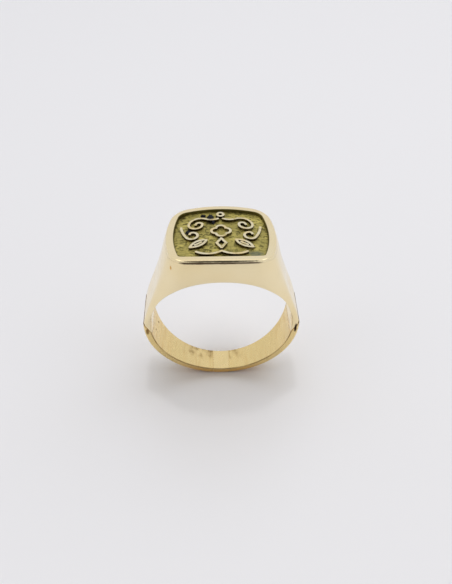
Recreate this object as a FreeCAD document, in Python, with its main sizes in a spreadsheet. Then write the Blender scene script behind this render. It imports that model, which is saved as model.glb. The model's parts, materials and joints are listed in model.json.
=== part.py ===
"""Gold signet ring: a hollow cushion head with an applied ornament, and a soldered-in shank.

The origin is the centre of the finger bore, +Y runs along the bore and +Z points to the face.
All lengths are millimetres.
"""
import FreeCAD
import Part
import Sketcher
import math
import os

V = FreeCAD.Vector

SIZES = {
    # finger bore and the band round it
    "bore_radius": 9.75,
    "band_wall": 1.0,
    "band_half_width": 3.48,
    "band_flare": 0.16,
    "band_round": 0.4,
    # head: half length, half depth and corner of its plan at five levels above the bore axis
    "tail_level": -2.6,
    "tail_half_x": 10.6,
    "tail_half_y": 3.06,
    "tail_corner": 0.4,
    "waist_level": 1.5,
    "waist_half_x": 10.45,
    "waist_half_y": 3.72,
    "waist_corner": 0.6,
    "shoulder_level": 5.5,
    "shoulder_half_x": 9.05,
    "shoulder_half_y": 4.8,
    "shoulder_corner": 2.0,
    "neck_level": 9.6,
    "neck_half_x": 7.95,
    "neck_half_y": 6.2,
    "neck_corner": 3.0,
    "brow_level": 13.6,
    "brow_half_x": 6.7,
    "brow_half_y": 6.3,
    "brow_corner": 2.6,
    "flat_crown": 900.0,
    "side_crown": 16.0,
    "front_crown": 28.0,
    "neck_flatter": 1.5,
    # face: a domed frame round a sunk ground
    "face_top": 13.25,
    "dome_radius": 42.0,
    "frame_thickness": 0.4,
    "frame_round": 0.36,
    "window_round": 0.08,
    "window_half_x": 6.15,
    "window_half_y": 5.45,
    "window_corner_front": 0.6,
    "window_corner_back": 1.4,
    "hollow_margin": 0.2,
    "seam": 0.1,
    "ground_thickness": 0.6,
    "back_thickness": 0.7,
    # applied ornament
    "stroke_width": 0.34,
    "stroke_height": 0.3,
    # side scarf joints and the insert at the bottom
    "scarf_level": -1.3,
    "scarf_lean": 0.55,
    "scarf_span": 3.0,
    "solder_drop": 0.25,
    "solder_gap": 0.08,
    "insert_width": 2.3,
    # construction solids reach this far past what they cut
    "reach": 16.0,
}


# Strokes of the ornament, drawn for the right side: a start point, a heading in degrees and moves.
# A move is (radius, turn) for an arc, left when the turn is positive, (length, 0) for a straight
# line and (0, turn) for a turn on the spot.
ORNAMENT = {
    "scroll": [((3.3, 2.0), 90, [(0.45, 180), (0.9, 180), (1.5, 120), (1.6, -60)])],
    "tendril": [((5.2, 1.6), -95, [(6.0, -25), (0.75, -230), (0.35, -100)])],
    "leaf": [((1.9, -1.6), 7, [(1.9, -84), (0, -96), (1.9, -80)]),
             ((2.57, -2.07), -44, [(3.0, 18)])],
    "rosette": [((0.62, -0.22), 0, [(0.62, 180), (0, -90), (0.62, 180), (0, -90), (0.62, 180), (0, -90),
                                    (0.62, 170)])],
    "bead": [((0.42, 4.35), 90, [(0.42, 345)])],
    "lozenge": [((0.0, -1.35), -60, [(1.2, 0), (0, -60), (1.2, 0), (0, -120), (1.2, 0), (0, -60), (0.9, 0)])],
    "swag": [((-3.2, -4.1), -40, [(2.5, 80), (0, -80), (2.5, 80)])],
}
PAIR = (("-", "_left"), ("", "_right"))
SINGLE = (("", ""),)
SIDES = {"scroll": PAIR, "tendril": PAIR, "leaf": PAIR, "rosette": SINGLE, "bead": SINGLE, "lozenge": SINGLE,
         "swag": SINGLE}


def make_sheet(doc):
    """The spreadsheet of driving dimensions."""
    sheet = doc.addObject("Spreadsheet::Sheet", "Sizes")
    for row, (alias, number) in enumerate(SIZES.items(), start=1):
        sheet.set(f"A{row}", alias)
        sheet.set(f"B{row}", str(number))
        sheet.setAlias(f"B{row}", alias)
    doc.recompute()
    return sheet


doc = FreeCAD.newDocument("signet_ring")
sheet = make_sheet(doc)
sub_parts = []


def value(expression):
    """The number that an expression in the sheet's aliases stands for."""
    return float(sheet.evalExpression(expression))


def add(kind, name, **properties):
    """A document object; a property given as text is bound to that expression."""
    thing = doc.addObject(kind, name)
    for key, given in properties.items():
        if isinstance(given, str):
            thing.setExpression(key, given)
        else:
            setattr(thing, key, given)
    return thing


def sub_part(thing, label):
    """Give a finished piece its own label and list it for writing."""
    thing.Label = label
    sub_parts.append(thing)


# ---------------------------------------------------------------- sketches

def plane_sketch(name, body=None, role="XY_Plane", height=None):
    """A sketch on a body's origin plane, or a free one on the same plane of the document."""
    if body is None:
        sketch = doc.addObject("Sketcher::SketchObject", name)
        if role == "XZ_Plane":
            sketch.Placement = FreeCAD.Placement(V(0, 0, 0), FreeCAD.Rotation(V(1, 0, 0), 90))
        return sketch
    sketch = body.newObject("Sketcher::SketchObject", name)
    plane = next(item for item in body.Origin.OriginFeatures if item.Role == role)
    sketch.AttachmentSupport = [(plane, "")]
    sketch.MapMode = "FlatFace"
    if height:
        sketch.setExpression("AttachmentOffset.Base.z", height)
    return sketch


def bind(sketch, kind, expression, *where):
    """A dimensional constraint driven by an expression."""
    index = sketch.addConstraint(Sketcher.Constraint(kind, *where, value(expression)))
    sketch.setExpression(f"Constraints[{index}]", expression)


def polygon(sketch, corners):
    """A closed outline through corners, each a pair of expressions from the sketch's origin."""
    points = [V(value(across), value(up), 0) for across, up in corners]
    first = sketch.GeometryCount
    count = len(points)
    for index in range(count):
        sketch.addGeometry(Part.LineSegment(points[index], points[(index + 1) % count]))
    for index, (across, up) in enumerate(corners):
        line = first + index
        sketch.addConstraint(Sketcher.Constraint("Coincident", line, 2, first + (index + 1) % count, 1))
        bind(sketch, "DistanceX", across, -1, 1, line, 1)
        bind(sketch, "DistanceY", up, -1, 1, line, 1)


def corner_centre(half_x, half_y, crown_x, crown_y, corner):
    """Centre of the arc that rounds the corner between a crowned side and a crowned end."""
    side = V(half_x - crown_x, 0, 0)
    end = V(0, half_y - crown_y, 0)
    apart = (end - side).Length
    along = (end - side).normalize()
    reach = ((crown_x - corner) ** 2 - (crown_y - corner) ** 2 + apart ** 2) / (2 * apart)
    rise = math.sqrt((crown_x - corner) ** 2 - reach ** 2)
    return side + along * reach + V(-along.y, along.x, 0) * rise


def cushion(sketch, half_x, half_y, crown_x, crown_y, corner_front, corner_back=None):
    """A rounded rectangle whose four sides are slightly crowned arcs, tangent all the way round."""
    corner_back = corner_back or corner_front
    across, deep = value(half_x), value(half_y)
    round_x, round_y = value(crown_x), value(crown_y)
    radii = [value(corner_back), value(corner_back), value(corner_front), value(corner_front)]
    turns = []
    for quarter, radius in enumerate(radii):
        centre = corner_centre(across, deep, round_x, round_y, radius)
        low = math.atan2(centre.y, centre.x - across + round_x)
        high = math.atan2(centre.y - deep + round_y, centre.x)
        flip_x = -1 if quarter in (1, 2) else 1
        flip_y = -1 if quarter in (2, 3) else 1
        span = (low, high) if quarter in (0, 2) else (math.pi - high, math.pi - low)
        turn = math.pi if quarter >= 2 else 0.0
        turns.append((V(centre.x * flip_x, centre.y * flip_y, 0), radius, span[0] + turn, span[1] + turn))
    arcs = []
    sides = [(V(across - round_x, 0, 0), round_x), (V(0, deep - round_y, 0), round_y),
             (V(round_x - across, 0, 0), round_x), (V(0, round_y - deep, 0), round_y)]
    for quarter, (centre, radius) in enumerate(sides):
        start = turns[quarter - 1][3]
        finish = turns[quarter][2]
        if quarter == 0:
            start -= 2 * math.pi
        arcs.append((centre, radius, start, finish))
        arcs.append(turns[quarter])
    for centre, radius, start, finish in arcs:
        circle = Part.Circle(centre, V(0, 0, 1), radius)
        sketch.addGeometry(Part.ArcOfCircle(circle, start, finish))
    for index in range(8):
        sketch.addConstraint(Sketcher.Constraint("Tangent", index, 2, (index + 1) % 8, 1))
    centres = [(f"{half_x} - {crown_x}", "0"), ("0", f"{half_y} - {crown_y}"),
               (f"{crown_x} - ({half_x})", "0"), ("0", f"{crown_y} - ({half_y})")]
    for index, (place_x, place_y) in enumerate(centres):
        bind_or_zero(sketch, "DistanceX", place_x, 2 * index)
        bind_or_zero(sketch, "DistanceY", place_y, 2 * index)
        bind(sketch, "Radius", crown_y if index % 2 else crown_x, 2 * index)
        bind(sketch, "Radius", corner_front if index >= 2 else corner_back, 2 * index + 1)


def bind_or_zero(sketch, kind, expression, arc):
    """Place an arc's centre from the sketch's origin, on an axis where the expression is 0."""
    if expression == "0":
        axis = -2 if kind == "DistanceX" else -1
        sketch.addConstraint(Sketcher.Constraint("PointOnObject", arc, 3, axis))
    else:
        bind(sketch, kind, expression, -1, 1, arc, 3)


def walk(sketch, start, heading, moves):
    """Tangent arcs and lines from a start point.

    A move (radius, turn) is an arc, left for a positive turn; (length, 0) is a straight line and
    (0, turn) turns on the spot.
    """
    place = V(*start, 0)
    for size, turn in moves:
        ahead = V(math.cos(math.radians(heading)), math.sin(math.radians(heading)), 0)
        heading += turn
        if size == 0:
            continue
        if turn == 0:
            finish = place + ahead * size
            sketch.addGeometry(Part.LineSegment(place, finish))
        else:
            hand = 1 if turn > 0 else -1
            centre = place + V(-ahead.y, ahead.x, 0) * size * hand
            finish = centre + FreeCAD.Rotation(V(0, 0, 1), turn).multVec(place - centre)
            middle = centre + FreeCAD.Rotation(V(0, 0, 1), turn / 2).multVec(place - centre)
            sketch.addGeometry(Part.Arc(place, middle, finish))
        place = finish


# ---------------------------------------------------------------- shared solids

def prism(name, sketch, both_ways=False):
    """A tall prism on a sketch, used as a cutter or a template."""
    block = add("Part::Extrusion", name, Base=sketch, Solid=True, Symmetric=both_ways,
                LengthFwd="Sizes.reach * 2" if both_ways else "Sizes.reach")
    block.DirMode = "Normal"
    return block


def bore_cylinder(name, radius, level="0"):
    """A cylinder along the bore's direction, its axis at a level above the bore's own."""
    turned = FreeCAD.Placement(V(0, value("Sizes.reach"), 0), FreeCAD.Rotation(V(1, 0, 0), 90))
    rod = add("Part::Cylinder", name, Placement=turned, Radius=radius, Height="Sizes.reach * 2")
    rod.setExpression("Placement.Base.z", level)
    return rod


def dome(name, below_top):
    """A cylinder whose crest lies a given depth below the top of the face."""
    return bore_cylinder(name, f"Sizes.dome_radius - ({below_top})", "Sizes.face_top - Sizes.dome_radius")


def common(name, base, tool):
    return add("Part::Common", name, Base=base, Tool=tool, Refine=False)


def cut(name, base, tool):
    return add("Part::Cut", name, Base=base, Tool=tool, Refine=False)


def head_blank():
    """The whole outside of the head with its tails, lofted up from the band and bored through."""
    body = doc.addObject("PartDesign::Body", "head_blank")
    crowns = {"neck": ("Sizes.side_crown * Sizes.neck_flatter", "Sizes.front_crown * Sizes.neck_flatter"),
              "brow": ("Sizes.side_crown", "Sizes.front_crown")}
    sections = []
    for level in ("tail", "waist", "shoulder", "neck", "brow"):
        sketch = plane_sketch(f"{level}_section", body, height=f"Sizes.{level}_level")
        crown_x, crown_y = crowns.get(level, ("Sizes.flat_crown", "Sizes.flat_crown"))
        cushion(sketch, f"Sizes.{level}_half_x", f"Sizes.{level}_half_y", crown_x, crown_y,
                f"Sizes.{level}_corner")
        sections.append(sketch)
    loft = body.newObject("PartDesign::AdditiveLoft", "head_loft")
    loft.Profile = sections[0]
    loft.Sections = sections[1:]
    bore = plane_sketch("head_bore", body, "XZ_Plane")
    bore.addGeometry(Part.Circle(V(0, 0, 0), V(0, 0, 1), value("Sizes.bore_radius")))
    bore.addConstraint(Sketcher.Constraint("Coincident", 0, 3, -1, 1))
    bind(bore, "Radius", "Sizes.bore_radius", 0)
    pocket = body.newObject("PartDesign::Pocket", "bore_pocket")
    pocket.Profile = bore
    pocket.Type = "ThroughAll"
    pocket.SideType = "Symmetric"
    return body


def round_edges(body, base, radii):
    """Fillet the edges that lie on a cylinder round the bore's axis, for each radius given."""
    for step, (cylinder, rounding) in enumerate(radii.items()):
        doc.recompute()
        around = value(cylinder)
        edges = [f"Edge{index}" for index, edge in enumerate(base.Shape.Edges, start=1)
                 if all(abs(math.hypot(p.x, p.z) - around) < 1e-3 for p in edge.discretize(7))
                 and abs(edge.Vertexes[0].Y + edge.Vertexes[-1].Y) > value("Sizes.band_wall")]
        fillet = body.newObject("PartDesign::Fillet", f"{body.Name}_rounding_{step + 1}")
        fillet.Base = (base, edges)
        fillet.setExpression("Radius", rounding)
        base = fillet
    body.Tip = base


def band_blank():
    """The shank as one hoop: a ring of flat stock, tapered towards the bottom, outer edges rounded."""
    body = doc.addObject("PartDesign::Body", "band_blank")
    hoop = plane_sketch("hoop", body, "XZ_Plane")
    for index, radius in enumerate(("Sizes.bore_radius", "Sizes.bore_radius + Sizes.band_wall")):
        hoop.addGeometry(Part.Circle(V(0, 0, 0), V(0, 0, 1), value(radius)))
        hoop.addConstraint(Sketcher.Constraint("Coincident", index, 3, -1, 1))
        bind(hoop, "Radius", radius, index)
    pad = body.newObject("PartDesign::Pad", "hoop_pad")
    pad.Profile = hoop
    pad.SideType = "Symmetric"
    pad.setExpression("Length", "Sizes.reach")
    waste = plane_sketch("taper_waste", body, "YZ_Plane")
    low = "Sizes.band_half_width - Sizes.band_flare * Sizes.reach"
    high = "Sizes.band_half_width + Sizes.band_flare * Sizes.reach"
    for side in ("", "-"):
        polygon(waste, [(f"{side}({low})", "-Sizes.reach"), (f"{side}Sizes.reach", "-Sizes.reach"),
                        (f"{side}Sizes.reach", "Sizes.reach"), (f"{side}({high})", "Sizes.reach")])
    taper = body.newObject("PartDesign::Pocket", "taper_pocket")
    taper.Profile = waste
    taper.Type = "ThroughAll"
    taper.SideType = "Symmetric"
    round_edges(body, taper, {"Sizes.bore_radius + Sizes.band_wall": "Sizes.band_round"})
    return body


def scarf_corner(level, drop="0"):
    """A point on a side joint's sloping plane, or on the same plane lowered by a drop."""
    across = f"Sizes.bore_radius + ({level} - Sizes.scarf_level + {drop}) * Sizes.scarf_lean"
    return across, level


def mirrored_prism(name, side, corners):
    """A prism along the bore through an outline drawn for the right side; side is "" or "-"."""
    sketch = plane_sketch(f"{name}_outline", role="XZ_Plane")
    polygon(sketch, [(f"{side}({across})", up) for across, up in corners])
    return prism(name, sketch, both_ways=True)


def shank_template(name, side, drop="0", gap="0"):
    """Everything that lies below a side joint and beyond the bottom insert."""
    inner = f"Sizes.insert_width / 2 + {gap}"
    low, high, deep = "-Sizes.scarf_span", "Sizes.scarf_span", "-Sizes.reach"
    outline = [scarf_corner(high, drop), scarf_corner(low, drop), (inner, low), (inner, deep),
               ("Sizes.reach", deep), ("Sizes.reach", high)]
    return mirrored_prism(name, side, outline)


def solder_template(name, side):
    """The sloping layer between a tail of the head and the shank."""
    low, high = "-Sizes.scarf_span", "Sizes.scarf_span"
    drop = "Sizes.solder_drop"
    outline = [scarf_corner(high), scarf_corner(low), scarf_corner(low, drop), scarf_corner(high, drop)]
    return mirrored_prism(name, side, outline)


def strip_template(name, side, start, width):
    """An upright strip across the bottom of the band."""
    deep = "-Sizes.reach"
    outline = [(start, "0"), (f"{start} + {width}", "0"), (f"{start} + {width}", deep), (start, deep)]
    return mirrored_prism(name, side, outline)


# ---------------------------------------------------------------- sub-parts

def make_shank(band):
    """Two half shanks, the insert between them at the bottom and the four solder seams."""
    for side, word in (("-", "left"), ("", "right")):
        below = shank_template(f"shank_{word}_space", side, "Sizes.solder_drop", "Sizes.solder_gap")
        sub_part(common(f"shank_{word}_cut", band, below), f"shank_{word}")
        seam = common(f"side_solder_{word}_cut", band, solder_template(f"side_solder_{word}_space", side))
        sub_part(seam, f"side_solder_{word}")
        strip = strip_template(f"bottom_solder_{word}_space", side, "Sizes.insert_width / 2",
                               "Sizes.solder_gap")
        sub_part(common(f"bottom_solder_{word}_cut", band, strip), f"bottom_solder_{word}")
    middle = strip_template("insert_space", "", "-Sizes.insert_width / 2", "Sizes.insert_width")
    sub_part(common("insert_cut", band, middle), "sizing_insert")


def make_head(blank):
    """The hollow shell, the plates that close it and the frame soldered round its top."""
    hollow_sketch = plane_sketch("hollow_outline")
    margin = "Sizes.hollow_margin"
    cushion(hollow_sketch, f"Sizes.window_half_x + {margin}", f"Sizes.window_half_y + {margin}",
            "Sizes.side_crown", "Sizes.front_crown", "Sizes.window_corner_back")
    hollow = prism("hollow_space", hollow_sketch)
    window_sketch = plane_sketch("window_outline")
    cushion(window_sketch, "Sizes.window_half_x", "Sizes.window_half_y", "Sizes.side_crown",
            "Sizes.front_crown", "Sizes.window_corner_front", "Sizes.window_corner_back")
    window = prism("window_space", window_sketch)

    seat = dome("frame_seat", "Sizes.frame_thickness")
    shell_top = dome("shell_top", "Sizes.frame_thickness + Sizes.seam")
    plate_under = dome("ground_under", "Sizes.frame_thickness + Sizes.seam + Sizes.ground_thickness")
    back_outer = bore_cylinder("back_outer", "Sizes.bore_radius + Sizes.back_thickness")
    back_inner = bore_cylinder("back_inner", "Sizes.bore_radius")

    lower = common("head_lower", blank, shell_top)
    trimmed = lower
    for side, word in (("-", "left"), ("", "right")):
        trimmed = cut(f"head_trim_{word}", trimmed, shank_template(f"head_{word}_waste", side))
    sub_part(cut("shell_cut", trimmed, hollow), "head_shell")

    above_seat = cut("above_seat", blank, seat)
    capped = common("frame_block", above_seat, dome("face_dome", "0"))
    ring_block = cut("frame_opened", capped, window)
    sub_part(softened(ring_block), "face_frame")

    seam_layer = cut("seam_layer", common("under_seat", blank, seat), shell_top)
    sub_part(cut("seam_cut", seam_layer, hollow), "frame_solder")

    ground = cut("ground_layer", common("ground_block", hollow, seat), plate_under)
    sub_part(ground, "ground_plate")
    back_block = common("back_block", hollow, back_outer)
    sub_part(cut("back_cut", back_block, back_inner), "back_plate")


def softened(block):
    """The frame with its outer top edge well rounded and its window edge just broken."""
    doc.recompute()
    crest = value("Sizes.dome_radius")
    top = next(face for face in block.Shape.Faces
               if isinstance(face.Surface, Part.Cylinder) and abs(face.Surface.Radius - crest) < 1e-6)
    edges = []
    for index, edge in enumerate(block.Shape.Edges, start=1):
        if any(edge.isSame(other) for other in top.Edges):
            outside = any(edge.isSame(other) for other in top.OuterWire.Edges)
            size = value("Sizes.frame_round" if outside else "Sizes.window_round")
            edges.append((index, size, size))
    soft = doc.addObject("Part::Fillet", "frame_softened")
    soft.Base = block
    soft.Edges = edges
    return soft


def make_ornament():
    """Applied strokes that follow the dome of the ground plate."""
    layer = cut("stroke_layer", dome("stroke_top", "Sizes.frame_thickness - Sizes.stroke_height"),
                dome("stroke_foot", "Sizes.frame_thickness"))
    for label, strokes in ORNAMENT.items():
        for side, word in SIDES[label]:
            name = f"{label}{word}"
            solids = []
            for number, (start, heading, moves) in enumerate(strokes, start=1):
                sketch = plane_sketch(f"{name}_path_{number}")
                hand = -1 if side else 1
                walk(sketch, (start[0] * hand, start[1]), heading if hand > 0 else 180 - heading,
                     [(size, turn * hand) for size, turn in moves])
                outline = add("Part::Offset2D", f"{name}_outline_{number}", Source=sketch, Fill=True,
                              Value="Sizes.stroke_width / 2")
                outline.Mode = "Pipe"
                solids.append(prism(f"{name}_prism_{number}", outline))
            block = solids[0]
            if len(solids) > 1:
                block = add("Part::MultiFuse", f"{name}_joined", Shapes=solids)
            sub_part(common(f"{name}_cut", block, layer), name)


def write_parts():
    """Check every object, then write one file for each sub-part."""
    doc.recompute()
    for thing in doc.Objects:
        if "Invalid" in thing.State or "Error" in thing.State:
            raise RuntimeError(f"{thing.Name} did not build: {thing.State}")
    os.makedirs("parts", exist_ok=True)
    for thing in sub_parts:
        shape = thing.Shape
        if shape.isNull() or not shape.isValid() or not shape.Solids:
            raise RuntimeError(f"{thing.Label} is not a sound solid")
        shape.exportStep(f"parts/{thing.Label}.step")
        print(f"{thing.Label}: {len(shape.Solids)} solid, {shape.Volume:.2f} mm3")


make_shank(band_blank())
make_head(head_blank())
make_ornament()
write_parts()
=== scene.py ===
import bmesh
import bpy
import functools
import json
import math
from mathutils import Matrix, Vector, noise


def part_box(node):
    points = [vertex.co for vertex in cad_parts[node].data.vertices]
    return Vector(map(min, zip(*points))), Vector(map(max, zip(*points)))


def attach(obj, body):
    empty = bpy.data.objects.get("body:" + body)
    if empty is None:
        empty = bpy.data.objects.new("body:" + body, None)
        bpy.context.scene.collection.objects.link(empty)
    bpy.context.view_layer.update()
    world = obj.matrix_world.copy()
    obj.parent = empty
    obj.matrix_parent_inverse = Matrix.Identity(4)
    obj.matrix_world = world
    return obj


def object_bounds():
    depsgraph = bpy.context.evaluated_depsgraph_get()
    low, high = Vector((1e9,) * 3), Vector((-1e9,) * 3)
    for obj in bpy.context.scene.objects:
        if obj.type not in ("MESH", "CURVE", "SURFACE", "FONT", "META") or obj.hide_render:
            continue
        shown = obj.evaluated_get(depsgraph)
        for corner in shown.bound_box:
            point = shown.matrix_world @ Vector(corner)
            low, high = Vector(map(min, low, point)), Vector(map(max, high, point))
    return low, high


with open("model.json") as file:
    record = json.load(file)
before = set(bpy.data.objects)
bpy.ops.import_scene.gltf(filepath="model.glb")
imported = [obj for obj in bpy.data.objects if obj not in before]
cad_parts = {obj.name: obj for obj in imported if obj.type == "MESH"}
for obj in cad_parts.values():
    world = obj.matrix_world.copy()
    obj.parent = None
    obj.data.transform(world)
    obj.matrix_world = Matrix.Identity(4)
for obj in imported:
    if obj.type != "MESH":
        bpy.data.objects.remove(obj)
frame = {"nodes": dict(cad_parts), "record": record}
cad_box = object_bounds()
MM = 0.001

# The ring's sizes and places that the frame gives.
BORE_RADIUS = frame["record"]["mounts"][0]["dims"]["r_mm"] * MM
FLOOR_Z = cad_box[0][2]
GROUND_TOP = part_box("ground_plate")[1][2]

# The band's half width level with the bore's axis, and how much it grows for each unit of height.
BAND_HALF_WIDTH = 3.48 * MM
BAND_TAPER = 0.16
# The radius of the face's dome at the ground, and the height at the front's middle of the painted dark
# reflection along the frame's edge.
FACE_RADIUS = 41.6 * MM
DARK_LINE_HEIGHT = 12.89 * MM

# The nodes of the applied ornament and of the soldered joints, by how their names start.
ORNAMENT_NODES = ("scroll", "tendril", "leaf", "rosette", "bead", "lozenge", "swag")
JOINT_NODES = ("side_solder", "bottom_solder")

# The camera looks down on the ring from in front, with the bore's centre just off the middle of the view.
CAMERA_ELEVATION = math.radians(40.0)
CAMERA_AZIMUTH = math.radians(-1.3)
CAMERA_DISTANCE = 95 * MM
CAMERA_SHIFT = (0.00859, 0.0312)
LENS = 41.35
SENSOR = 36.0

# The studio, in metres and watts. Each light has a name, a direction and distance from the bore's centre,
# a width, a power, and whether metal mirrors it.
FLOOR_HALF_SIZE = 3.0
LIGHTS = (
    ("key", (0.3, 0.3, 1.0), 0.5, 0.7, 0.8, False),
    ("glint_left", (-1.0, -0.15, 0.9), 0.5, 0.16, 0.05, True),
    ("glint_right", (1.0, -0.15, 0.9), 0.5, 0.16, 0.05, True),
    ("ceiling", (0.0, 0.13, 1.0), 0.6, 0.05, 0.3, False),
)
# The room's colour low down and overhead, and the shade in the dark patch round the camera.
ROOM_LOW = (0.76, 0.77, 0.81)
ROOM_HIGH = (0.87, 0.86, 0.86)
ROOM_STRENGTH = 1.03
PATCH_SHADE = (0.05, 0.05, 0.05)
PATCH_EDGE, PATCH_CORE = math.radians(38), math.radians(22)


def srgb(red, green, blue):
    """A colour from 0 to 255 as the linear colour that shaders use."""
    def linear(part):
        part /= 255
        return part / 12.92 if part <= 0.04045 else ((part + 0.055) / 1.055) ** 2.4
    return (linear(red), linear(green), linear(blue), 1.0)


PALE_GOLD = srgb(249, 234, 196)
WARM_GOLD = srgb(243, 220, 164)
HONEY_GOLD = srgb(236, 210, 144)
AMBER_GOLD = srgb(222, 178, 104)
INSERT_GOLD = srgb(240, 217, 158)
# Tarnish in hollows, and painted shade round the bore's front edge.
TARNISH_AND_EDGE_SHADE = srgb(120, 84, 40)
ORNAMENT_TOP = srgb(240, 230, 196)
# Dark marks of the side joints, and the painted dark reflection along the frame's front edge.
DARK_JOINT_AND_REFLECTION = srgb(58, 34, 24)
OLIVE = srgb(186, 173, 96)
OLIVE_BRIGHT = srgb(226, 212, 124)
OLIVE_DARK = srgb(120, 112, 58)
OLIVE_DEEP = srgb(74, 62, 30)
SOOT = srgb(16, 16, 19)
BLUE_STAIN = srgb(122, 126, 106)
BROWN = srgb(158, 126, 76)

# Marks of wear, in millimetres: centre, radii and colour. The first ground stain spreads over the ornament.
GROUND_STAINS = (
    ((-1.3, 3.0, 12.6), (0.9, 1.3, 1.0), SOOT),
    ((4.3, -4.2, 12.6), (1.5, 1.0, 1.0), BLUE_STAIN),
    ((-4.1, 1.0, 12.6), (0.7, 0.9, 1.0), SOOT),
    ((-3.7, -1.9, 12.6), (0.6, 0.4, 1.0), OLIVE_DEEP),
    ((-5.2, 4.4, 12.6), (0.9, 0.7, 1.0), OLIVE_DEEP),
)
HEAD_STAINS = (
    ((10.3, -3.3, -0.3), (0.28, 0.8, 0.9), DARK_JOINT_AND_REFLECTION),
    ((-10.6, -3.4, 2.8), (0.4, 0.6, 0.7), BROWN),
    ((-8.9, -3.6, 4.2), (0.3, 0.5, 0.25), BROWN),
    ((-6.4, -5.4, 11.4), (0.18, 0.8, 0.45), AMBER_GOLD),
)
SHANK_STAINS = (
    ((10.25, -3.3, -0.7), (0.28, 0.8, 1.1), DARK_JOINT_AND_REFLECTION),
    ((-10.25, -3.3, -0.9), (0.35, 0.6, 0.9), BROWN),
    ((-9.1, 1.7, -3.5), (0.3, 0.3, 0.3), BROWN),
    ((-9.3, -0.6, -2.9), (0.24, 0.24, 0.24), BROWN),
)
# Fire scale, in millimetres: place across and along the face, then half its length, width and height.
OXIDE_LUMPS = (
    (-1.35, 3.75, 0.46, 0.7, 0.4),
    (-0.95, 2.75, 0.2, 0.42, 0.3),
    (-2.3, 4.25, 0.34, 0.24, 0.34),
    (-4.25, 0.7, 0.34, 0.42, 0.22),
)


# ---------------------------------------------------------------- shader tools

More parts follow.
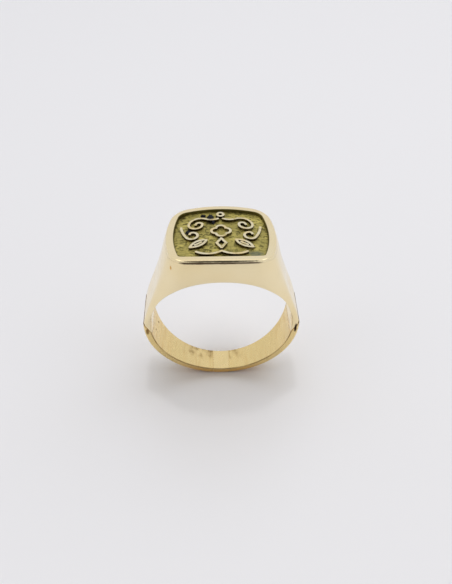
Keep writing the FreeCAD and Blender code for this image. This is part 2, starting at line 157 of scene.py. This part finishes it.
class Shader:
    """A material's nodes, with short calls for the ones used here."""

    def __init__(self, name):
        self.material = bpy.data.materials.new(name)
        self.material.use_nodes = True
        self.tree = self.material.node_tree
        self.surface = self.tree.nodes["Principled BSDF"]
        self.place = self.node("ShaderNodeTexCoord").outputs["Object"]

    def node(self, kind, **settings):
        made = self.tree.nodes.new(kind)
        for key, given in settings.items():
            setattr(made, key, given)
        return made

    def feed(self, socket, given):
        """Link another socket to this one, or set its value."""
        if isinstance(given, bpy.types.NodeSocket):
            self.tree.links.new(given, socket)
        else:
            socket.default_value = given

    def math(self, operation, first, second=0.0):
        made = self.node("ShaderNodeMath", operation=operation)
        self.feed(made.inputs[0], first)
        self.feed(made.inputs[1], second)
        return made.outputs[0]

    def product(self, *values):
        """Some values multiplied together."""
        return functools.reduce(lambda one, other: self.math("MULTIPLY", one, other), values)

    def weighed(self, *pairs):
        """The sum of some values, each times its weight."""
        total = 0.0
        for given, weight in pairs:
            total = self.math("ADD", self.product(given, weight), total)
        return total

    def parts(self, vector):
        """The X, Y and Z sockets of a vector."""
        split = self.node("ShaderNodeSeparateXYZ")
        self.feed(split.inputs[0], vector)
        return split.outputs

    def axis(self, number):
        """Place along X, Y or Z, in metres."""
        return self.parts(self.place)[number]

    def scaled(self, vector, scale):
        made = self.node("ShaderNodeVectorMath", operation="MULTIPLY")
        self.feed(made.inputs[0], vector)
        made.inputs[1].default_value = scale
        return made.outputs[0]

    def noise(self, scale, detail=3.0, vector=None, rough=0.55):
        """Noise from 0 to 1; scale counts features in a metre."""
        made = self.node("ShaderNodeTexNoise")
        self.feed(made.inputs["Vector"], vector or self.place)
        made.inputs["Scale"].default_value = scale
        made.inputs["Detail"].default_value = detail
        made.inputs["Roughness"].default_value = rough
        return made.outputs["Fac"]

    def band(self, given, low, high, to_low=0.0, to_high=1.0):
        """given from low to high, smoothly turned into to_low to to_high."""
        made = self.node("ShaderNodeMapRange", interpolation_type="SMOOTHSTEP")
        self.feed(made.inputs["Value"], given)
        for key, number in (("From Min", low), ("From Max", high), ("To Min", to_low), ("To Max", to_high)):
            made.inputs[key].default_value = number
        return made.outputs["Result"]

    def mix(self, amount, first, second):
        made = self.node("ShaderNodeMix", data_type="RGBA")
        self.feed(made.inputs["Factor"], amount)
        self.feed(made.inputs["A"], first)
        self.feed(made.inputs["B"], second)
        return made.outputs["Result"]

    def spot(self, centre, radii):
        """1 inside an ellipsoid about a point in millimetres, fading to 0 at an edge broken up by noise."""
        offset = self.node("ShaderNodeVectorMath", operation="SUBTRACT")
        self.feed(offset.inputs[0], self.place)
        offset.inputs[1].default_value = [part * MM for part in centre]
        stretched = self.scaled(offset.outputs[0], [1 / (radius * MM) for radius in radii])
        length = self.node("ShaderNodeVectorMath", operation="LENGTH")
        self.feed(length.inputs[0], stretched)
        ragged = self.product(self.noise(3200, 4), 0.9)
        return self.band(self.math("ADD", length.outputs["Value"], ragged), 1.35, 0.75)

    def stained(self, tone, stains, strength=1.0):
        """A tone with stains over it, and how far they cover it."""
        cover = 0.0
        for centre, radii, stain in stains:
            mask = self.product(self.spot(centre, radii), strength)
            tone = self.mix(mask, tone, stain)
            cover = self.math("MAXIMUM", cover, mask)
        return tone, cover

    def hollows(self, reach):
        """How closed in a point is, from 0 in the open to 1 in a crevice."""
        made = self.node("ShaderNodeAmbientOcclusion", samples=8)
        made.inputs["Distance"].default_value = reach
        return self.band(made.outputs["AO"], 0.75, 0.3)

    def round_bore(self):
        """Place as the way round the bore, the way along it and the distance from its axis, in metres."""
        across, along, up = self.parts(self.place)
        way_round = self.product(self.math("ARCTAN2", across, up), BORE_RADIUS)
        out = self.math("SQRT", self.math("ADD", self.product(across, across), self.product(up, up)))
        joined = self.node("ShaderNodeCombineXYZ")
        for socket, given in zip(joined.inputs, (way_round, along, out)):
            self.feed(socket, given)
        return joined.outputs[0]

    def relief(self, height, depth, edge=0.06 * MM):
        """Bump in which a height of 1 stands as high as the depth, over edges worn round to a radius."""
        worn = self.node("ShaderNodeBevel", samples=6)
        worn.inputs["Radius"].default_value = edge
        made = self.node("ShaderNodeBump")
        made.inputs["Distance"].default_value = depth
        made.inputs["Strength"].default_value = 1.0
        self.feed(made.inputs["Height"], height)
        self.feed(made.inputs["Normal"], worn.outputs["Normal"])
        self.feed(self.surface.inputs["Normal"], made.outputs["Normal"])

    def metal(self, colour, roughness):
        self.surface.inputs["Metallic"].default_value = 1.0
        self.feed(self.surface.inputs["Base Color"], colour)
        self.feed(self.surface.inputs["Roughness"], roughness)


def scratches(shader, vector):
    """Hair lines and a few deeper scores that run along the vector's first axis."""
    hair = shader.noise(1.0, 2, shader.scaled(vector, (350, 9000, 9000)), 0.6)
    score = shader.noise(1.0, 1, shader.scaled(vector, (230, 3800, 3800)), 0.4)
    return shader.math("ADD", shader.band(hair, 0.35, 0.75, 0.0, 0.5), shader.band(score, 0.64, 0.7))


def polished_gold(name, colour, second, wear=1.0, round_band=False, stains=(), masks=()):
    """Worn polished gold: soft colour drift, fine scratches, dents, and tarnish where it is closed in."""
    shader = Shader(name)
    vector = shader.round_bore() if round_band else shader.place
    drift = shader.band(shader.noise(150, 2), 0.25, 0.8, 0.15, 0.6)
    tone = shader.mix(drift, colour, second)
    tone = shader.mix(shader.product(shader.hollows(0.3 * MM), 0.6), tone, TARNISH_AND_EDGE_SHADE)
    dirt_and_shade = 0.0
    # The masks lay colours over the tone: real brush marks and smudges, and also painted shade and a painted
    # dark reflection.
    for make_mask, stain, strength in masks:
        mask = shader.product(make_mask(shader), strength)
        tone = shader.mix(mask, tone, stain)
        dirt_and_shade = shader.math("MAXIMUM", dirt_and_shade, mask)
    tone, cover = shader.stained(tone, stains)
    dirt_and_shade = shader.math("MAXIMUM", dirt_and_shade, cover)
    brushed = shader.noise(1.0, 2, shader.scaled(vector, (5200, 500, 1800)), 0.6)
    swells, dents = shader.noise(520, 2), shader.noise(1900, 2)
    shader.relief(shader.weighed((scratches(shader, vector), 0.10 * wear), (brushed, 0.08 * wear),
                                 (swells, 2.2), (dents, 0.22 * wear)), 0.006 * MM)
    smooth = shader.band(shader.noise(700, 4), 0.3, 0.75, 0.12, 0.24)
    if round_band:
        smooth = shader.math("ADD", smooth, 0.1)
    shader.metal(tone, shader.math("ADD", smooth, shader.product(dirt_and_shade, 0.35)))
    return shader.material


def on_bore_wall(shader):
    """1 on the bore's wall, 0 further out."""
    return shader.band(shader.parts(shader.round_bore())[2], BORE_RADIUS + 0.2 * MM, BORE_RADIUS + 0.05 * MM)


def bore_edge_shade(shader):
    """A painted shade line round the bore's front edge, which draws in as the band tapers."""
    _, along, out = shader.parts(shader.round_bore())
    up = shader.axis(2)
    edge = shader.math("ADD", shader.product(up, -BAND_TAPER), -BAND_HALF_WIDTH)
    off_front = shader.math("ABSOLUTE", shader.math("SUBTRACT", along, edge))
    off_bore = shader.math("SUBTRACT", out, BORE_RADIUS)
    apart = shader.math("ADD", off_front, off_bore)
    near = shader.band(apart, 0.18 * MM, 0.06 * MM)
    below = shader.band(up, 3.5 * MM, 0.5 * MM)
    uneven = shader.band(shader.noise(420, 2), 0.3, 0.6, 0.45, 1.0)
    return shader.product(near, below, uneven)


def inner_smudges(shader):
    """Brown smudges on the bore's lowest part, towards its back and left."""
    low = shader.band(shader.axis(2), -7.6 * MM, -9.0 * MM)
    back = shader.band(shader.axis(1), -0.4 * MM, 0.8 * MM)
    left = shader.band(shader.axis(0), 3.6 * MM, 1.5 * MM)
    brushed = shader.noise(1.0, 5, shader.scaled(shader.place, (1100, 500, 500)), 0.7)
    ragged = shader.band(brushed, 0.38, 0.7)
    return shader.product(low, back, left, ragged, on_bore_wall(shader))


def brushing(shader):
    """Brush marks that run along the bore, on its wall only."""
    marks = shader.noise(1.0, 3, shader.scaled(shader.round_bore(), (2600, 260, 500)), 0.6)
    patches = shader.band(shader.noise(300, 3), 0.35, 0.7, 0.25, 1.0)
    return shader.product(on_bore_wall(shader), patches, shader.band(marks, 0.4, 0.72))


def underside_shade(shader):
    """The outside of the band's lowest stretch, given a deeper colour as painted shade where it faces the
    floor.
    """
    out = shader.parts(shader.round_bore())[2]
    outside = shader.band(out, BORE_RADIUS + 0.05 * MM, BORE_RADIUS + 0.3 * MM)
    return shader.product(outside, shader.band(shader.axis(2), -7.5 * MM, -10.2 * MM))


def on_walls(shader):
    """1 on walls, 0 on faces that look up."""
    normal = shader.node("ShaderNodeNewGeometry").outputs["Normal"]
    return shader.band(shader.parts(normal)[2], 0.85, 0.5)


def recess_wall_shade(shader):
    """The frame's walls inside its window, which face the middle of the face; they take painted shade."""
    outward = shader.node("ShaderNodeVectorMath", operation="DOT_PRODUCT")
    shader.feed(outward.inputs[0], shader.node("ShaderNodeNewGeometry").outputs["Normal"])
    shader.feed(outward.inputs[1], shader.scaled(shader.place, (1, 1, 0)))
    inward = shader.band(outward.outputs["Value"], -0.5 * MM, -2.5 * MM)
    return shader.product(inward, shader.band(shader.axis(2), 11.5 * MM, 12.0 * MM))


def front_edge_dark_reflection(shader):
    """A painted dark reflection along the frame's front edge, near where the frame sits on the head, uneven,
    and along the front only.
    """
    front = shader.band(shader.axis(1), -5.6 * MM, -5.9 * MM)
    across = shader.axis(0)
    middle = shader.band(shader.math("ABSOLUTE", shader.math("ADD", across, 0.2 * MM)), 5.5 * MM, 4.4 * MM)
    fall = shader.math("DIVIDE", shader.product(across, across), 2 * FACE_RADIUS)
    height = shader.math("SUBTRACT", shader.math("ADD", shader.axis(2), fall), DARK_LINE_HEIGHT)
    wander = shader.product(shader.math("SUBTRACT", shader.noise(330, 2), 0.5), 0.16 * MM)
    line = shader.band(shader.math("ADD", shader.math("ABSOLUTE", height), wander), 0.16 * MM, 0.07 * MM)
    return shader.product(front, middle, line)


def ground_gold():
    """The sunk ground: matt olive gold, hatched from side to side, stained, with painted shade against its
    edge.
    """
    shader = Shader("ground_gold")
    hatch = shader.noise(1.0, 3, shader.scaled(shader.place, (900, 6500, 500)), 0.7)
    patches = shader.noise(480, 4)
    flecks = shader.noise(2300, 3)
    tone = shader.mix(shader.band(patches, 0.4, 0.66), OLIVE, OLIVE_BRIGHT)
    tone = shader.mix(shader.band(flecks, 0.5, 0.36), tone, OLIVE_DARK)
    tone = shader.mix(shader.band(hatch, 0.5, 0.34), tone, OLIVE_DARK)
    # Painted shade: darker where the ground is closed in, against the frame's walls and round the strokes.
    tone = shader.mix(shader.product(shader.hollows(0.6 * MM), 0.75), tone, OLIVE_DEEP)
    tone, _ = shader.stained(tone, GROUND_STAINS, 0.8)
    shader.metal(tone, shader.band(patches, 0.3, 0.7, 0.4, 0.58))
    shader.relief(shader.weighed((hatch, 1.0), (flecks, 0.6)), 0.045 * MM)
    return shader.material


def ornament_gold():
    """Worn tops on strokes, with painted shade on their sides."""
    shader = Shader("ornament_gold")
    tone = shader.mix(shader.band(shader.noise(900, 3), 0.35, 0.7), ORNAMENT_TOP, INSERT_GOLD)
    # Painted shade down the strokes' sides.
    side = shader.product(on_walls(shader), shader.band(shader.noise(800, 3), 0.3, 0.5, 0.6, 1.0))
    tone = shader.mix(shader.band(shader.noise(1300, 4), 0.54, 0.66, 0.0, 0.7), tone, OLIVE)
    tone = shader.mix(side, tone, OLIVE_DEEP)
    tone, _ = shader.stained(tone, GROUND_STAINS[:1], 0.6)
    shader.metal(tone, shader.band(shader.noise(1500, 3), 0.3, 0.7, 0.26, 0.42))
    shader.relief(shader.weighed((shader.noise(2600, 3), 1.0), (shader.noise(7000, 2), 0.3)),
                  0.035 * MM, edge=0.09 * MM)
    return shader.material


def oxide():
    """Black fire scale: dull, grainy and bluish."""
    shader = Shader("oxide")
    tone = shader.mix(shader.noise(4000, 3), SOOT, srgb(40, 41, 48))
    shader.feed(shader.surface.inputs["Base Color"], tone)
    shader.surface.inputs["Roughness"].default_value = 0.7
    shader.surface.inputs["Specular IOR Level"].default_value = 0.15
    shader.relief(shader.noise(5200, 3), 0.03 * MM)
    return shader.material


def dress(material, *nodes):
    """Give CAD nodes a material."""
    for name in nodes:
        thing = frame["nodes"][name]
        thing.data.materials.clear()
        thing.data.materials.append(material)


def dress_ring():
    """Give every CAD node its material."""
    # The masks lay painted shade on the window's walls, round the bore's front edge and on the band's
    # underside, and a painted dark reflection along the frame's front edge, beside real brush marks and
    # smudges.
    head = polished_gold("head_gold", PALE_GOLD, WARM_GOLD, stains=HEAD_STAINS,
                         masks=[(recess_wall_shade, OLIVE_DARK, 0.95), (front_edge_dark_reflection, DARK_JOINT_AND_REFLECTION, 0.9),
                                (bore_edge_shade, TARNISH_AND_EDGE_SHADE, 0.55)])
    shank = polished_gold("shank_gold", HONEY_GOLD, WARM_GOLD, 1.4, True, SHANK_STAINS,
                          [(brushing, AMBER_GOLD, 0.4), (underside_shade, AMBER_GOLD, 0.75),
                           (bore_edge_shade, TARNISH_AND_EDGE_SHADE, 0.65), (inner_smudges, BROWN, 0.95)])
    insert = polished_gold("insert_gold", INSERT_GOLD, WARM_GOLD, 1.4, True, (),
                           [(brushing, AMBER_GOLD, 0.2), (underside_shade, AMBER_GOLD, 0.75),
                            (bore_edge_shade, TARNISH_AND_EDGE_SHADE, 0.65)])
    seam = polished_gold("seam_solder", PALE_GOLD, WARM_GOLD, masks=[(front_edge_dark_reflection, DARK_JOINT_AND_REFLECTION, 1.0)])
    joint = polished_gold("joint_solder", WARM_GOLD, AMBER_GOLD, 1.4, True, SHANK_STAINS,
                          [(bore_edge_shade, TARNISH_AND_EDGE_SHADE, 0.65)])
    dress(head, "head_shell", "face_frame", "back_plate")
    dress(shank, "shank_left", "shank_right")
    dress(insert, "sizing_insert")
    dress(ground_gold(), "ground_plate")
    dress(seam, "frame_solder")
    ornament = ornament_gold()
    for name in frame["nodes"]:
        if name.startswith(ORNAMENT_NODES):
            dress(ornament, name)
        elif name.startswith(JOINT_NODES):
            dress(joint, name)


# ---------------------------------------------------------------- oxide left on the ground

def make_oxide():
    """Rough lumps of fire scale that were never cleaned off the ground."""
    material = oxide()
    for number, (across, along, length, width, height) in enumerate(OXIDE_LUMPS, start=1):
        mesh = bpy.data.meshes.new(f"oxide_{number}")
        build = bmesh.new()
        bmesh.ops.create_icosphere(build, subdivisions=4, radius=1.0)
        for vertex in build.verts:
            rough = noise.noise(vertex.co * 2.1 + Vector((number * 7.0, 0, 0)))
            vertex.co *= 1 + 0.32 * rough
            vertex.co.x *= length * MM
            vertex.co.y *= width * MM
            vertex.co.z *= height * MM
        build.to_mesh(mesh)
        build.free()
        for face in mesh.polygons:
            face.use_smooth = True
        mesh.materials.append(material)
        lump = bpy.data.objects.new(f"oxide_{number}", mesh)
        drop = FACE_RADIUS - math.sqrt(FACE_RADIUS ** 2 - (across * MM) ** 2)
        lump.location = (across * MM, along * MM, GROUND_TOP - drop)
        bpy.context.scene.collection.objects.link(lump)
        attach(lump, "root")


# ---------------------------------------------------------------- studio

def look_from(direction, distance):
    """Location and rotation of something at a distance that points back at the bore's centre."""
    return direction.normalized() * distance, direction.to_track_quat("Z", "Y").to_euler()


def camera_direction():
    """From the bore's centre to the camera."""
    level = math.cos(CAMERA_ELEVATION)
    return Vector((math.sin(CAMERA_AZIMUTH) * level, -math.cos(CAMERA_AZIMUTH) * level,
                   math.sin(CAMERA_ELEVATION)))


def make_camera():
    data = bpy.data.cameras.new("camera")
    data.sensor_width = SENSOR
    data.lens = LENS
    data.clip_start = 5 * MM
    data.clip_end = 5.0
    data.shift_x, data.shift_y = CAMERA_SHIFT
    camera = bpy.data.objects.new("camera", data)
    bpy.context.scene.collection.objects.link(camera)
    camera.location, camera.rotation_euler = look_from(camera_direction(), CAMERA_DISTANCE)
    bpy.context.scene.camera = camera


def make_floor():
    mesh = bpy.data.meshes.new("floor")
    build = bmesh.new()
    bmesh.ops.create_grid(build, x_segments=1, y_segments=1, size=FLOOR_HALF_SIZE)
    build.to_mesh(mesh)
    build.free()
    floor = bpy.data.objects.new("floor", mesh)
    floor.location.z = FLOOR_Z
    bpy.context.scene.collection.objects.link(floor)
    shader = Shader("floor")
    shader.surface.inputs["Base Color"].default_value = srgb(232, 231, 232)
    shader.surface.inputs["Roughness"].default_value = 0.4
    mesh.materials.append(shader.material)


def make_light(name, direction, distance, size, power, mirrored):
    data = bpy.data.lights.new(name, "AREA")
    data.shape = "DISK"
    data.size = size
    data.energy = power
    light = bpy.data.objects.new(name, data)
    light.location, light.rotation_euler = look_from(Vector(direction), distance)
    light.visible_glossy = mirrored
    bpy.context.scene.collection.objects.link(light)


def make_world():
    """A pale room, brighter overhead, with the dark patch that a photographer makes."""
    world = bpy.data.worlds.new("room")
    bpy.context.scene.world = world
    world.use_nodes = True
    tree = world.node_tree

    def ramp(given, *stops):
        made = tree.nodes.new("ShaderNodeValToRGB")
        tree.links.new(given, made.inputs["Fac"])
        for element, (position, colour) in zip(made.color_ramp.elements, stops):
            element.position = position
            element.color = (*colour, 1)
        return made.outputs["Color"]

    place = tree.nodes.new("ShaderNodeTexCoord").outputs["Generated"]
    split = tree.nodes.new("ShaderNodeSeparateXYZ")
    tree.links.new(place, split.inputs[0])
    walls = ramp(split.outputs["Z"], (0.55, ROOM_LOW), (0.95, ROOM_HIGH))
    toward = tree.nodes.new("ShaderNodeVectorMath")
    toward.operation = "DOT_PRODUCT"
    toward.inputs[1].default_value = camera_direction()
    tree.links.new(place, toward.inputs[0])
    patch = ramp(toward.outputs["Value"], (math.cos(PATCH_EDGE), (1, 1, 1)),
                 (math.cos(PATCH_CORE), PATCH_SHADE))
    both = tree.nodes.new("ShaderNodeMix")
    both.data_type = "RGBA"
    both.blend_type = "MULTIPLY"
    both.inputs["Factor"].default_value = 1.0
    tree.links.new(walls, both.inputs["A"])
    tree.links.new(patch, both.inputs["B"])
    background = tree.nodes["Background"]
    tree.links.new(both.outputs["Result"], background.inputs["Color"])
    background.inputs["Strength"].default_value = ROOM_STRENGTH


def make_studio():
    make_camera()
    make_floor()
    make_world()
    for light in LIGHTS:
        make_light(*light)
    bpy.context.scene.view_settings.view_transform = "Standard"


dress_ring()
make_oxide()
make_studio()
